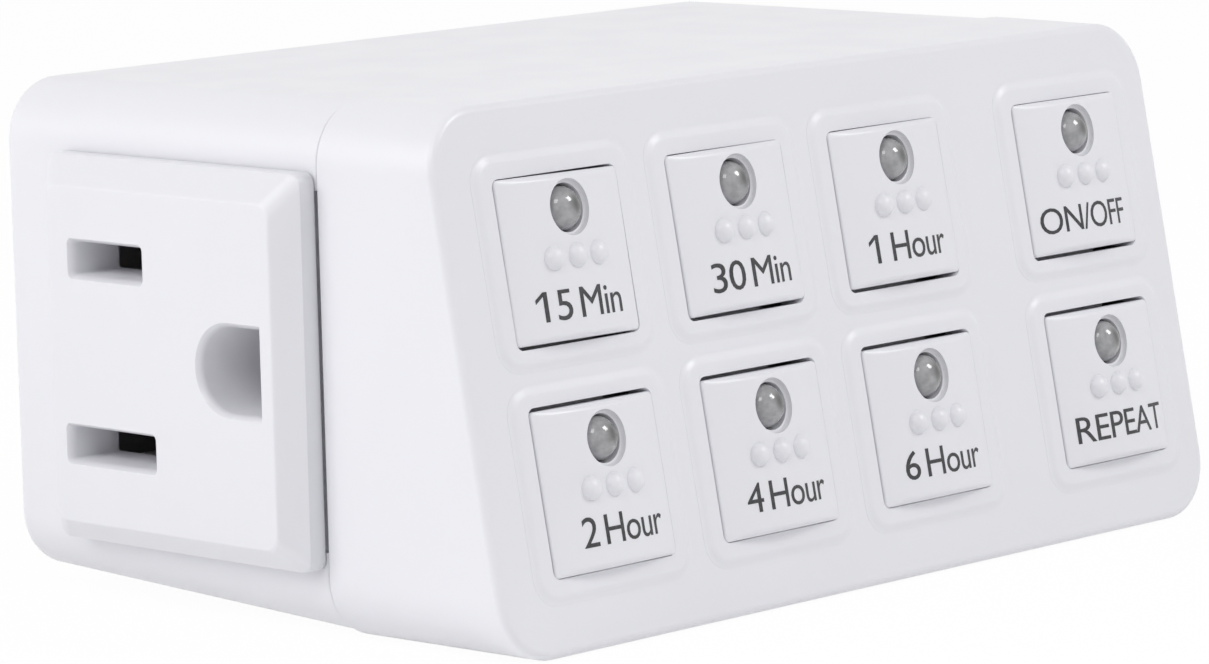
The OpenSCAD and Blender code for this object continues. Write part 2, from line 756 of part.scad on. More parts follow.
rear_housing();
front_cover();
socket_plate();
socket_core();
key_frame();
for (row = rows) for (column = columns) {
    color(white) key_at(row, column) key_cap(row);
    color([0.55, 0.55, 0.55]) key_at(row, column) lamp();
    color([0.15, 0.15, 0.16]) key_at(row, column) tact_switch();
    color([0.75, 0.72, 0.66]) key_at(row, column) plunger();
}
keypad_board();
board_screws();
microcontroller();
board_ribbon();
power_board();
relay();
dropper_capacitor();
smoothing_capacitor();
varistor();
rectifier();
bleed_resistor();
plug_block();
line_blade();
neutral_blade();
ground_pin();
line_contact();
neutral_contact();
ground_contact();
line_strap();
neutral_strap();
ground_strap();
housing_screws();
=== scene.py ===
"""Looks of a plug-in timer switch: its shells, keys, lamps, outlet, plug and stage.

Pieces are modelled in millimetres, in a flat frame of their own, and then placed in the CAD frame.
"""

import math

import bmesh
import bpy
from bpy.props import FloatProperty, FloatVectorProperty, PointerProperty
from mathutils import Matrix, Vector


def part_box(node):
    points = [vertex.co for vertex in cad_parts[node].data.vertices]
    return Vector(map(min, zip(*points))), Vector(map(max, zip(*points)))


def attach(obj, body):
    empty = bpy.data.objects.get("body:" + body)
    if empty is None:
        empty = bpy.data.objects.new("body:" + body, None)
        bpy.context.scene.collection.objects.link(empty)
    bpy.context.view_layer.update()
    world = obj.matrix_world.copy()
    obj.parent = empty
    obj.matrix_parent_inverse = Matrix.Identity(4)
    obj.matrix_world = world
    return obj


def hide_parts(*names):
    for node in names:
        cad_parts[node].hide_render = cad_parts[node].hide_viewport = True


bl_info = {
    "name": "Plug-in Timer Switch",
    "version": (1, 0, 0),
    "blender": (4, 5, 0),
    "location": "View3D > Sidebar > Timer",
    "description": "Builds the shells, keys, lamps, outlet, plug and stage of a plug-in timer switch",
    "category": "Object",
}

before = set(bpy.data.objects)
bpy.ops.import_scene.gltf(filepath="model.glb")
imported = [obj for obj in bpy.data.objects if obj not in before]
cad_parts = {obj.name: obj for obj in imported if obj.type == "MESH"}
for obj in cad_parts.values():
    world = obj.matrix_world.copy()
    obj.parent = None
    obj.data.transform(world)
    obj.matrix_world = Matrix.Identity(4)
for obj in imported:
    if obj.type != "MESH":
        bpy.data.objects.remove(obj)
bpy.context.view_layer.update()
MM = 0.001
CASE = "case"
DOME_MAP = "dome"          # the lamps' own UV map: the dome seen from the front
KEY_ROWS = (("15_min", "30_min", "1_hour", "on_off"), ("2_hour", "4_hour", "6_hour", "repeat"))
KEY_PLACES = [(row, column) for row in (0, 1) for column in range(4)]
TO_HINGE = (1, -1)         # way from a key's middle to its hinge, for each row: up, down
# each key's legend, its share of the key's width, its height against the others, and its shift to
# the right and down in millimetres
LEGENDS = {
    "15_min": ("15 Min", 0.69, 1, -0.1, 0), "30_min": ("30 Min", 0.69, 1, 0.25, 0),
    "1_hour": ("1 Hour", 0.69, 1, 0.05, -0.14), "on_off": ("ON/OFF", 0.8, 0.93, -0.35, -0.06),
    "2_hour": ("2 Hour", 0.67, 1, 0.5, -0.27), "4_hour": ("4 Hour", 0.69, 1, 0.25, -0.26),
    "6_hour": ("6 Hour", 0.69, 1, 0.17, -0.25), "repeat": ("REPEAT", 0.845, 0.93, 0.2, -0.21),
}
# how a key sits in its window: turn in degrees, drop and shift to the right in millimetres
USUAL_SEAT = (0, 0, 0.05)
SEATS = {"15_min": (-0.6, 0.07, 0), "30_min": (0.3, 0, 0.05), "1_hour": (0.2, 0, 0.05)}


# ---- driving sizes and colours ----

def length(label, description, value):
    """A length property, given in millimetres and stored in metres."""
    return FloatProperty(name=label, description=description, default=value * MM, unit="LENGTH",
                         precision=5)


def colour(label, description, value):
    """A colour property, written as linear red, green and blue."""
    return FloatVectorProperty(name=label, description=description, default=value, subtype="COLOR",
                               size=3, min=0, max=1)


class TimerSizes(bpy.types.PropertyGroup):
    """Sizes of the case, the keys, the outlet and the plug"""
    keypad_tilt: FloatProperty(name="Keypad tilt", description="Lean of the keypad face from upright",
                               default=math.radians(10.6), unit="ROTATION")
    case_depth: length("Case depth", "Depth of the case along its base", 48.7)
    corner_r: length("Corner radius", "Radius of the long edges of the case", 4.3)
    edge_r: length("Rim radius", "Rounding round the keypad", 0.6)
    back_r: length("Back radius", "Rounding round the back", 1.0)
    wall: length("Wall", "Thickness of the shells", 2.0)
    seam_step: length("Seam step", "Step from the front shell down to the rear shell", 0.15)
    rear_rise: length("Rear rise", "Rise of the base from the seam to the wall", 1.5)
    front_rise: length("Front rise", "Rise of the base from the seam to the keypad", 0.25)
    key_w: length("Key width", "Width of a key", 11.35)
    key_h: length("Key height", "Height of a key", 10.9)
    key_pitch_x: length("Column pitch", "Spacing of the key columns", 16.2)
    key_pitch_v: length("Row pitch", "Spacing of the two key rows", 15.15)
    last_column_gap: length("Last column gap", "Extra space before the last column", 3.45)
    key_margin: length("Key margin", "From the left end to the first key", 5.0)
    key_crown: length("Key crown", "Rise of a key's middle above its side edges", 0.97)
    key_proud: length("Key stand", "Stand of a key's side edges over the pad", 0.07)
    pad_rise: length("Pad rise", "Height of the raised pad round each key", 0.25)
    pad_margin: length("Pad margin", "Width of the raised pad round each key", 1.6)
    side_gap: length("Side gap", "Gap between a key's sides and its window", 0.07)
    hinge_gap: length("Hinge gap", "Gap along a key's hinged edge", 0.03)
    free_gap: length("Free gap", "Gap along a key's free edge", 0.25)
    lamp_drop: length("Lamp drop", "Lamp's middle below the key's top edge", 2.4)
    lamp_r: length("Lamp radius", "Radius of a lamp", 1.5)
    lamp_hole_r: length("Lamp hole radius", "Radius of the lamp's hole in a key", 1.64)
    dots_drop: length("Dots drop", "Row of raised dots below the key's top edge", 5.5)
    dot_pitch: length("Dot pitch", "Spacing of the raised dots", 2.0)
    dot_r: length("Dot radius", "Radius of a raised dot", 0.86)
    legend_drop: length("Legend drop", "Legend's middle below the key's top edge", 8.58)
    legend_cap: length("Legend height", "Height of the legend's capitals", 2.0)
    plate_rise: length("Plate rise", "How far the outlet plate stands out", 2.9)
    plate_bevel: length("Plate bevel", "Bevel along the edges of the outlet plate", 1.6)
    plate_top_bevel: length("Plate top bevel", "Slope along the outlet plate's top edge", 2.1)
    plate_corner_r: length("Plate corner radius", "Radius of the outlet plate's corners", 0.8)
    slot_pitch: length("Slot pitch", "Between the two flat slots or blades", 12.7)
    ground_pitch: length("Ground pitch", "From the line of the slots to the ground hole", 11.9)
    ground_r: length("Ground hole radius", "Radius of the outlet's ground hole", 2.85)
    pin_r: length("Pin radius", "Radius of the ground pin", 2.4)


class TimerColours(bpy.types.PropertyGroup):
    """Colours of the mouldings, the print and the metal"""
    case: colour("Case", "White moulded shells", (0.83, 0.83, 0.87))
    key: colour("Keys", "White moulded keys", (0.83, 0.83, 0.87))
    plate: colour("Outlet plate", "White outlet plate", (0.815, 0.815, 0.855))
    ink: colour("Legends", "Printed legends", (0.03, 0.03, 0.033))
    lamp: colour("Lamps", "Unlit grey lamp resin", (0.33, 0.33, 0.34))
    brass: colour("Brass", "Blades, pin and contacts", (0.80, 0.58, 0.27))
    steel: colour("Steel", "Zinc-plated screws", (0.62, 0.63, 0.66))
    board: colour("Boards", "Green circuit boards", (0.02, 0.13, 0.05))


def size(name):
    """A driving length in millimetres."""
    return getattr(bpy.context.scene.timer_sizes, name) / MM


def paint(name):
    """A driving colour with its alpha."""
    return (*getattr(bpy.context.scene.timer_colours, name), 1.0)


def box_mm(node):
    """Lowest and highest corner of a CAD node in millimetres."""
    low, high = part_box(node)
    return low / MM, high / MM


# ---- places worked out from the frame ----

def at(x, y, z):
    """Matrix that shifts by x, y and z."""
    return Matrix.Translation((x, y, z))


def turned(degrees, axis):
    """Matrix that turns by some degrees about an axis."""
    return Matrix.Rotation(math.radians(degrees), 4, axis)


COVER_LOW, COVER_HIGH = box_mm("front_cover")
REAR_LOW, REAR_HIGH = box_mm("rear_housing")
PLATE_LOW, PLATE_HIGH = box_mm("socket_plate")
LEFT_X = COVER_LOW.x
BASE_Z = COVER_LOW.z
TOP_Z = COVER_HIGH.z
SEAM_Y = COVER_HIGH.y
BACK_Y = REAR_HIGH.y
SLOT_LINE_Y = -14.1        # line through the outlet's two flat slots
OUTLET_Z = BASE_Z + 18     # middle of the outlet
PLUG_MIDDLE_Z = 6.2        # middle of the plug's base, above the ground pin
SCREW_X = 32.6             # from the middle to the case screws
SCREW_PLACES = [(x, z) for x in (-SCREW_X, SCREW_X) for z in (BASE_Z + 5.4, TOP_Z - 4.4)]


def keypad_frame():
    """Frame of the keypad face: x along the keys, y up the face, z out of it."""
    tilt = bpy.context.scene.timer_sizes.keypad_tilt
    return at(0, -size("case_depth"), BASE_Z) @ Matrix.Rotation(math.pi / 2 - tilt, 4, "X")


def face_length():
    """Length of the keypad face from the base line to the top."""
    return (TOP_Z - BASE_Z) / math.cos(bpy.context.scene.timer_sizes.keypad_tilt)


def key_centre(row, column):
    """Middle of a key in the keypad frame."""
    x = LEFT_X + size("key_margin") + size("key_w") / 2 + column * size("key_pitch_x")
    if column == 3:
        x += size("last_column_gap")
    middle = (face_length() + size("front_rise")) / 2
    return Vector((x, middle + (0.5 - row) * size("key_pitch_v"), 0))


def key_edge_z():
    """Height of a key's side edges over the keypad face."""
    return size("pad_rise") + size("key_proud")


def on_keypad(row, column, offset):
    """Place on the keypad, offset from the middle of a key."""
    return keypad_frame() @ Matrix.Translation(key_centre(row, column) + Vector(offset))


def outlet_frame():
    """Frame of the outlet on the left end: x towards the keypad, y up, z out of the case."""
    axes = Matrix(((0, 0, -1, 0), (-1, 0, 0, 0), (0, 1, 0, 0), (0, 0, 0, 1)))
    return at(LEFT_X, SLOT_LINE_Y, OUTLET_Z) @ axes


def wall_frame():
    """Frame of the plug: x to the left as seen from the wall, y up, z towards the wall."""
    return turned(-90, "X") @ turned(180, "Z")


# ---- modelling helpers ----

def soften(bm, geom, offset, segments, affect="EDGES", **more):
    """Bevels the given edges or corners of a bmesh."""
    bmesh.ops.bevel(bm, geom=geom, offset=offset, offset_type="OFFSET", segments=segments,
                    profile=0.5, affect=affect, material=-1, **more)


def outline(width, height, radius, segments=8, side=0):
    """Flat rectangle in the XY plane with round corners, all or only those to one side of x.

    side is 1 or -1 for the corners at the higher or the lower x. Returns the bmesh and its face.
    """
    bm = bmesh.new()
    bmesh.ops.create_grid(bm, x_segments=1, y_segments=1, size=0.5)
    bmesh.ops.scale(bm, vec=(width, height, 1), verts=bm.verts)
    chosen = [vertex for vertex in bm.verts if vertex.co.x * side >= 0]
    if radius > 0:
        soften(bm, chosen, radius, segments, "VERTICES")
        bmesh.ops.remove_doubles(bm, verts=bm.verts, dist=1e-4)
    return bm, next(iter(bm.faces))


def disc(radius, segments=48):
    """Flat round face in the XY plane. Returns the bmesh and its face."""
    bm = bmesh.new()
    bmesh.ops.create_circle(bm, cap_ends=True, segments=segments, radius=radius)
    return bm, next(iter(bm.faces))


def stack(bm, face, steps):
    """Grows a face through (inset, rise) steps: a rise draws walls, an inset narrows it."""
    for inset, rise in steps:
        bmesh.ops.inset_region(bm, faces=[face], thickness=inset, depth=rise,
                               use_even_offset=True, use_boundary=True)


def round_over(radius, segments=4, start=0, end=90):
    """Steps along an arc, from a wall (0 degrees) to a flat top (90 degrees)."""
    angles = [math.radians(start + (end - start) * i / segments) for i in range(segments + 1)]
    return [(radius * (math.cos(a) - math.cos(b)), radius * (math.sin(b) - math.sin(a)))
            for a, b in zip(angles, angles[1:])]


def soft_step(width, height, segments=8):
    """Steps that climb by height over width along an S curve."""
    heights = [height * (1 - math.cos(math.pi * i / segments)) / 2 for i in range(segments + 1)]
    return [(width / segments, high - low) for low, high in zip(heights, heights[1:])]


def face_out(bm):
    """Turns all faces of a bmesh outwards."""
    bmesh.ops.recalc_face_normals(bm, faces=bm.faces)


def close_base(bm):
    """Fills the open end of a stacked shape and turns its faces outwards."""
    bmesh.ops.holes_fill(bm, edges=[edge for edge in bm.edges if edge.is_boundary], sides=0)
    face_out(bm)


def grown(flat, steps, place=None):
    """Closed shape grown from an outline or disc through steps, and placed. Returns its bmesh."""
    bm, face = flat
    stack(bm, face, steps)
    close_base(bm)
    if place:
        move(bm, place)
    return bm


def sunk(flat, steps, place, squeeze=1):
    """Closed shape grown downwards, maybe squeezed along x, and placed. Returns its bmesh."""
    bm = grown(flat, steps)
    bmesh.ops.scale(bm, vec=(squeeze, 1, -1), verts=bm.verts)
    face_out(bm)
    move(bm, place)
    return bm


def split(bm, places, axis="X"):
    """Cuts faces where an axis has the given values, so that none gets more than half a hole."""
    normal = Vector((axis == "X", axis == "Y", axis == "Z"))
    for place in places:
        bmesh.ops.bisect_plane(bm, geom=bm.verts[:] + bm.edges[:] + bm.faces[:], dist=1e-5,
                               plane_co=place * normal, plane_no=normal)


def move(bm, matrix):
    """Moves a whole bmesh by a matrix."""
    bmesh.ops.transform(bm, matrix=matrix, verts=bm.verts)


def join(bm, other):
    """Adds another bmesh to bm and frees it."""
    mesh = bpy.data.meshes.new("joined")
    other.to_mesh(mesh)
    other.free()
    bm.from_mesh(mesh)
    bpy.data.meshes.remove(mesh)


def block(low, high, bevel=0.1):
    """Small box between two corners with bevelled edges, as a bmesh."""
    bm = bmesh.new()
    low, high = Vector(low), Vector(high)
    bmesh.ops.create_cube(bm, size=1)
    bmesh.ops.scale(bm, vec=high - low, verts=bm.verts)
    move(bm, Matrix.Translation((low + high) / 2))
    if bevel > 0:
        soften(bm, bm.edges, bevel, 2)
    return bm


def linked(name, data):
    """New object with the given data, linked to the scene."""
    made = bpy.data.objects.new(name, data)
    bpy.context.scene.collection.objects.link(made)
    return made


def raw_object(name, bm):
    """Object with the bmesh's shape, linked to the scene."""
    mesh = bpy.data.meshes.new(name)
    bm.to_mesh(mesh)
    bm.free()
    return linked(name, mesh)


def evaluated_mesh(piece):
    """New mesh with the shape that an object has after its modifiers."""
    graph = bpy.context.evaluated_depsgraph_get()
    return bpy.data.meshes.new_from_object(piece.evaluated_get(graph))


def combine(piece, shapes, operation="DIFFERENCE"):
    """Cuts bmeshes out of a piece, or adds them to it."""
    tools = [raw_object("tool", bm) for bm in shapes]
    for tool in tools:
        modifier = piece.modifiers.new("combine", "BOOLEAN")
        modifier.operation = operation
        modifier.solver = "MANIFOLD"
        modifier.object = tool
    mesh = evaluated_mesh(piece)
    piece.modifiers.clear()
    old = piece.data
    piece.data = mesh
    bpy.data.meshes.remove(old)
    for tool in tools:
        bpy.data.meshes.remove(tool.data)


def add_loose(piece, *parts):
    """Adds bmeshes to a piece's mesh as they are."""
    bm = bmesh.new()
    bm.from_mesh(piece.data)
    for part in parts:
        join(bm, part)
    bm.to_mesh(piece.data)
    bm.free()


def finish_piece(piece, material_name, body, matrix=None, nodes=(), sharp=32):
    """Scales a piece to metres, shades it smooth between its sharp edges and hands it to the frame."""
    piece.data.transform(Matrix.Scale(MM, 4) @ (matrix or Matrix.Identity(4)))
    piece.data.materials.clear()
    piece.data.materials.append(finish(material_name))
    piece.data.shade_smooth()
    piece.data.set_sharp_from_angle(angle=math.radians(sharp))
    weighted = piece.modifiers.new("even shading", "WEIGHTED_NORMAL")
    weighted.keep_sharp = True
    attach(piece, body)
    if nodes:
        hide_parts(*nodes)
    return piece


# ---- materials ----

class Recipe:
    """Small helper that lays out the nodes of one material."""

    def __init__(self, name):
        self.material = bpy.data.materials.new(name)
        self.material.use_nodes = True
        self.tree = self.material.node_tree
        self.shader = self.tree.nodes["Principled BSDF"]
        self.place = self.node("ShaderNodeTexCoord").outputs["Object"]

    def node(self, kind, **values):
        """New node with some of its attributes set."""
        made = self.tree.nodes.new(kind)
        for key, value in values.items():
            setattr(made, key, value)
        return made

    def link(self, source, target):
        """Joins an output to an input."""
        self.tree.links.new(source, target)

    def noise(self, grain, detail=2, stretch=(1, 1, 1)):
        """Noise with features of about grain millimetres."""
        mapping = self.node("ShaderNodeMapping")
        mapping.inputs["Scale"].default_value = stretch
        texture = self.node("ShaderNodeTexNoise")
        texture.inputs["Scale"].default_value = 1 / (grain * MM)
        texture.inputs["Detail"].default_value = detail
        self.link(self.place, mapping.inputs["Vector"])
        self.link(mapping.outputs["Vector"], texture.inputs["Vector"])
        return texture.outputs["Fac"]

    def spread(self, source, low, high, start=0.25, end=0.75):
        """A source's range from start to end, a noise's middle, stretched softly between two values."""
        ramp = self.node("ShaderNodeMapRange", interpolation_type="SMOOTHERSTEP")
        limits = {"From Min": start, "From Max": end, "To Min": low, "To Max": high}
        for name, value in limits.items():
            ramp.inputs[name].default_value = value
        self.link(source, ramp.inputs["Value"])
        return ramp.outputs["Result"]

    def blend(self, factor, first, second):
        """Mix of two colours, of which the first may be an output."""
        mix = self.node("ShaderNodeMix", data_type="RGBA")
        if isinstance(first, bpy.types.NodeSocket):
            self.link(first, mix.inputs["A"])
        else:
            mix.inputs["A"].default_value = first
        mix.inputs["B"].default_value = second
        self.link(factor, mix.inputs["Factor"])
        return mix.outputs["Result"]

    def bump(self, source, depth, strength=1.0, normal=None):
        """Relief of depth millimetres. Returns the normal."""
        relief = self.node("ShaderNodeBump")
        relief.inputs["Strength"].default_value = strength
        relief.inputs["Distance"].default_value = depth * MM
        self.link(source, relief.inputs["Height"])
        if normal:
            self.link(normal, relief.inputs["Normal"])
        return relief.outputs["Normal"]

    def surface(self, base, roughness, normal, settings=None):
        """Wires up the shader and sets further inputs. Returns the material."""
        sources = {"Base Color": base, "Roughness": roughness, "Normal": normal}
        for name, source in sources.items():
            self.link(source, self.shader.inputs[name])
        for name, value in (settings or {}).items():
            self.shader.inputs[name].default_value = value
        return self.material


def shade(rgba, factor):
    """A colour made lighter or darker."""
    return tuple(min(1.0, channel * factor) for channel in rgba[:3]) + (1.0,)


def moulded(name, rgba, roughness=0.35, relief=0.0025, tone=0.99):
    """Injection-moulded plastic: faint flow clouds, a fine spark-eroded skin and uneven gloss."""
    recipe = Recipe(name)
    clouds = recipe.spread(recipe.noise(14, 3), 0, 1)
    gloss = recipe.spread(recipe.noise(5, 3), roughness - 0.05, roughness + 0.06)
    skin = recipe.bump(recipe.noise(0.35), relief)
    waves = recipe.bump(recipe.noise(9, 1), relief * 8, 0.2, skin)
    return recipe.surface(recipe.blend(clouds, rgba, shade(rgba, tone)), gloss, waves, {
        "IOR": 1.5, "Specular IOR Level": 0.5, "Subsurface Weight": 0.08,
        "Subsurface Radius": (1.0, 0.9, 0.85), "Subsurface Scale": 0.7 * MM,
    })


def printed_ink(name, rgba):
    """Pad-printed ink with a slightly uneven cover."""
    recipe = Recipe(name)
    cover = recipe.spread(recipe.noise(0.25, 3), 0, 1)
    return recipe.surface(recipe.blend(cover, shade(rgba, 0.8), shade(rgba, 1.7)),
                          recipe.spread(recipe.noise(0.15), 0.4, 0.6),
                          recipe.bump(recipe.noise(0.12), 0.004))


def lamp_resin(name, rgba):
    """Smoky cast resin with a glossy skin, cloudy drifts and the dark cup of the die inside."""
    cup_place = (0.7, 0.57, 0)
    cup_full_r, cup_end_r = 0.08, 0.42
    recipe = Recipe(name)
    drift = recipe.spread(recipe.noise(0.7, 4), 0, 1)
    cloudy = recipe.blend(drift, shade(rgba, 0.85), shade(rgba, 1.2))
    on_dome = recipe.node("ShaderNodeUVMap", uv_map=DOME_MAP)
    from_cup = recipe.node("ShaderNodeVectorMath", operation="DISTANCE")
    from_cup.inputs[1].default_value = cup_place
    recipe.link(on_dome.outputs["UV"], from_cup.inputs[0])
    cup = recipe.spread(from_cup.outputs["Value"], 1.0, 0.0, cup_full_r, cup_end_r)
    return recipe.surface(recipe.blend(cup, cloudy, shade(rgba, 0.2)),
                          recipe.spread(recipe.noise(0.6), 0.06, 0.14),
                          recipe.bump(recipe.noise(1.4), 0.01, 0.4),
                          {"IOR": 1.54, "Coat Weight": 0.6, "Coat Roughness": 0.05})


def metal(name, rgba, roughness, stretch):
    """Stamped or drawn metal with fine lines along its length and slight tarnish."""
    recipe = Recipe(name)
    tarnish = recipe.spread(recipe.noise(3, 4), 0, 1)
    lines = recipe.noise(0.5, 3, stretch)
    return recipe.surface(recipe.blend(tarnish, rgba, shade(rgba, 0.78)),
                          recipe.spread(lines, roughness - 0.06, roughness + 0.1),
                          recipe.bump(lines, 0.004), {"Metallic": 1.0})


def circuit_board(name, rgba):
    """Solder mask over copper tracks, with the weave of the laminate below it."""
    recipe = Recipe(name)
    tracks = recipe.node("ShaderNodeTexBrick", offset=0.37, squash=1.7)
    tracks.inputs["Scale"].default_value = 1 / (9 * MM)
    tracks.inputs["Mortar Size"].default_value = 0.045
    tracks.inputs["Mortar Smooth"].default_value = 0.1
    recipe.link(recipe.place, tracks.inputs["Vector"])
    weave = recipe.bump(recipe.noise(0.4), 0.01)
    return recipe.surface(recipe.blend(tracks.outputs["Fac"], rgba, shade(rgba, 1.9)),
                          recipe.spread(recipe.noise(2), 0.3, 0.42),
                          recipe.bump(tracks.outputs["Fac"], 0.035, 1.0, weave))


def ribbed(name, rgba, pitch):
    """Flat insulated ribbon: one rib for each wire, with painted shade darkening the grooves between the
    ribs.
    """
    recipe = Recipe(name)
    ribs = recipe.node("ShaderNodeTexWave", bands_direction="X")
    ribs.inputs["Scale"].default_value = 1 / (pitch * MM * 20) * math.pi
    recipe.link(recipe.place, ribs.inputs["Vector"])
    # painted shade: the grey goes darker in the low grooves between the ribs, where the relief is lowest
    return recipe.surface(recipe.blend(ribs.outputs["Fac"], shade(rgba, 0.7), rgba),
                          recipe.spread(recipe.noise(1), 0.4, 0.55),
                          recipe.bump(ribs.outputs["Fac"], 0.25))


FINISHES = {}


def finish(name):
    """The named material, made once."""
    makers = {
        "case_white": (moulded, paint("case")),
        "key_white": (moulded, paint("key"), 0.345, 0.002),
        "plate_white": (moulded, paint("plate"), 0.345, 0.002),
        "core_ivory": (moulded, (0.62, 0.60, 0.54, 1), 0.5, 0.006, 0.93),
        "inner_white": (moulded, (0.78, 0.78, 0.80, 1), 0.45, 0.005, 0.96),
        "legend_ink": (printed_ink, paint("ink")),
        "lamp_grey": (lamp_resin, paint("lamp")),
        "contact_brass": (metal, paint("brass"), 0.36, (1, 1, 8)),
        "plug_brass": (metal, paint("brass"), 0.35, (1, 0.12, 1)),
        "screw_zinc": (metal, paint("steel"), 0.36, (1, 0.2, 1)),
        "board_green": (circuit_board, paint("board")),
        "switch_black": (moulded, (0.016, 0.016, 0.018, 1), 0.4, 0.006, 1.6),
        "plunger_tan": (moulded, (0.52, 0.47, 0.39, 1), 0.45, 0.005, 0.9),
        "relay_blue": (moulded, (0.02, 0.07, 0.30, 1), 0.35, 0.004, 0.85),
        "film_yellow": (moulded, (0.57, 0.34, 0.02, 1), 0.35, 0.01, 0.85),
        "sleeve_navy": (moulded, (0.03, 0.045, 0.13, 1), 0.35, 0.008, 0.8),
        "varistor_blue": (moulded, (0.03, 0.10, 0.33, 1), 0.35, 0.03, 0.8),
        "resistor_lacquer": (moulded, (0.25, 0.38, 0.52, 1), 0.35, 0.01, 0.85),
        "ribbon_grey": (ribbed, (0.48, 0.48, 0.50, 1), 1.27),
    }
    if name not in FINISHES:
        maker, *values = makers[name]
        FINISHES[name] = maker(name, *values)
    return FINISHES[name]


# ---- case ----

def shell_block(seam_y, seam_low, seam_high, far, half_length, radius):
    """Block from the seam to the far end with its four long edges rounded.

    far is ((y, z) of the low edge, (y, z) of the high edge). Returns the bmesh, seam face and far face.
    """
    bm = bmesh.new()
    bmesh.ops.create_cube(bm, size=2)
    towards_far = 1 if far[0][0] > seam_y else -1
    for vertex in bm.verts:
        upper = vertex.co.z > 0
        if vertex.co.y * towards_far > 0:
            y, z = far[1] if upper else far[0]
        else:
            y, z = seam_y, seam_high if upper else seam_low
        vertex.co = (vertex.co.x * half_length, y, z)
    near = 1e-3
    long_edges = []
    for edge in bm.edges:
        first, second = (vertex.co for vertex in edge.verts)
        starts, ends = sorted((abs(first.y - seam_y), abs(second.y - seam_y)))
        if abs(first.x - second.x) < near and starts < near < ends:
            long_edges.append(edge)
    soften(bm, long_edges, radius, 12)
    bm.normal_update()
    seam_face = min(bm.faces, key=lambda face: face.normal.y * towards_far)
    far_face = max(bm.faces, key=lambda face: face.normal.y * towards_far)
    return bm, seam_face, far_face


def build_rear_shell():
    """Rear half of the case with its screw wells and the windows of the plug and of the outlet."""
    step, rim, wall = size("seam_step"), size("back_r"), size("wall")
    depth = BACK_Y - SEAM_Y
    rim_y = BACK_Y - rim
    rim_z = BASE_Z + step + (size("rear_rise") - step) * (rim_y - SEAM_Y) / depth
    lip, groove = 0.15, 0.15
    bm, seam_face, back_face = shell_block(
        SEAM_Y + lip + groove, BASE_Z + step, TOP_Z - step, ((rim_y, rim_z), (rim_y, TOP_Z - step)),
        -LEFT_X - step, size("corner_r") - step)
    stack(bm, back_face, round_over(rim, 6))
    stack(bm, seam_face, round_over(lip, 3) + [(wall - lip, 0), (0, -(depth - wall))])
    for vertex in seam_face.verts:
        vertex.co.y = BACK_Y - wall
    face_out(bm)
    split(bm, [0, -SCREW_X, SCREW_X])
    split(bm, [SLOT_LINE_Y], "Y")
    piece = raw_object("rear_shell", bm)
    combine(piece, [plug_window(), neck_window(), plate_gap()] + screw_wells())
    add_loose(piece, *screw_tubes())
    return finish_piece(piece, "case_white", CASE, nodes=["rear_housing"])


def plug_window():
    """Cutter for the square window of the plug base in the back."""
    side, corner_r, reach = 22.3, 3, 5
    place = at(0, -reach, PLUG_MIDDLE_Z) @ wall_frame()
    return grown(outline(side, side, corner_r), [(0, reach + 1)], place)


def neck_window():
    """Cutter for the window behind the outlet plate."""
    half_w, half_h = 11, 9.55
    middle_y = (PLATE_LOW.y + PLATE_HIGH.y) / 2
    low = (LEFT_X - 1, middle_y - half_w, OUTLET_Z - half_h)
    high = (LEFT_X + 4, middle_y + half_w, OUTLET_Z + half_h)
    return block(low, high, 0)


def plate_gap():
    """Cutter for the groove between outlet plate and front shell, which runs on under the plate."""
    inset, deep, under_plate = 1.2, 1.4, 0.5
    low = (LEFT_X - 1, SEAM_Y - 1, PLATE_LOW.z + inset)
    high = (LEFT_X + deep, PLATE_LOW.y + under_plate, PLATE_HIGH.z - inset)
    return block(low, high, 0)


def at_screws(radius, steps, y, degrees):
    """The same round shape, grown along y, at each of the four case screws."""
    return [grown(disc(radius), steps, at(x, y, z) @ turned(degrees, "X")) for x, z in SCREW_PLACES]


def screw_wells():
    """Cutters for the four round wells in the back, with a soft mouth."""
    well_r, mouth, above, deep = 2.3, 0.3, 0.7, 4
    steps = [(0, above), (mouth / 2, mouth / 2), (mouth / 2, mouth / 2), (0, deep)]
    return at_screws(well_r + mouth, steps, BACK_Y + above, 90)


def screw_tubes():
    """Tubes that carry the screws through the rear half."""
    tube_r, tube_t, seat_w = 3, 0.7, 0.9
    start_y = SEAM_Y + 0.05
    end_y = BACK_Y - size("wall") + 0.2
    seat_y, hole_end_y = -12.5, SEAM_Y + 0.6
    steps = [(0, end_y - start_y), (tube_t, 0), (0, seat_y - end_y), (seat_w, 0), (0, hole_end_y - seat_y)]
    return at_screws(tube_r, steps, start_y, -90)


def build_front_shell():
    """Front half of the case: the sloping keypad with a raised pad and a window for each key."""
    rim, wall = size("edge_r"), size("wall")
    face_t = 1.8
    keypad = keypad_frame()
    low = keypad @ Vector((0, size("front_rise"), -rim))
    high = keypad @ Vector((0, face_length(), -rim))
    lip = 0.12
    bm, seam_face, key_face = shell_block(
        SEAM_Y - lip, BASE_Z, TOP_Z, ((low.y, low.z), (high.y, high.z)), -LEFT_X, size("corner_r"))
    stack(bm, key_face, round_over(rim, 6))
    stack(bm, seam_face, round_over(lip, 3) + [(wall - lip, 0), (0, -1)])
    bm.normal_update()
    out = keypad.to_3x3() @ Vector((0, 0, 1))
    inner_point = keypad @ Vector((0, 0, -face_t))
    for vertex in seam_face.verts:
        vertex.co.y += (inner_point - vertex.co).dot(out) / out.y
    face_out(bm)
    split(bm, [key_centre(0, column).x for column in range(4)])
    piece = raw_object("front_shell", bm)
    combine(piece, [key_pad(row, column) for row, column in KEY_PLACES], "UNION")
    combine(piece, [key_window(row, column) for row, column in KEY_PLACES])
    return finish_piece(piece, "case_white", CASE, nodes=["front_cover"])


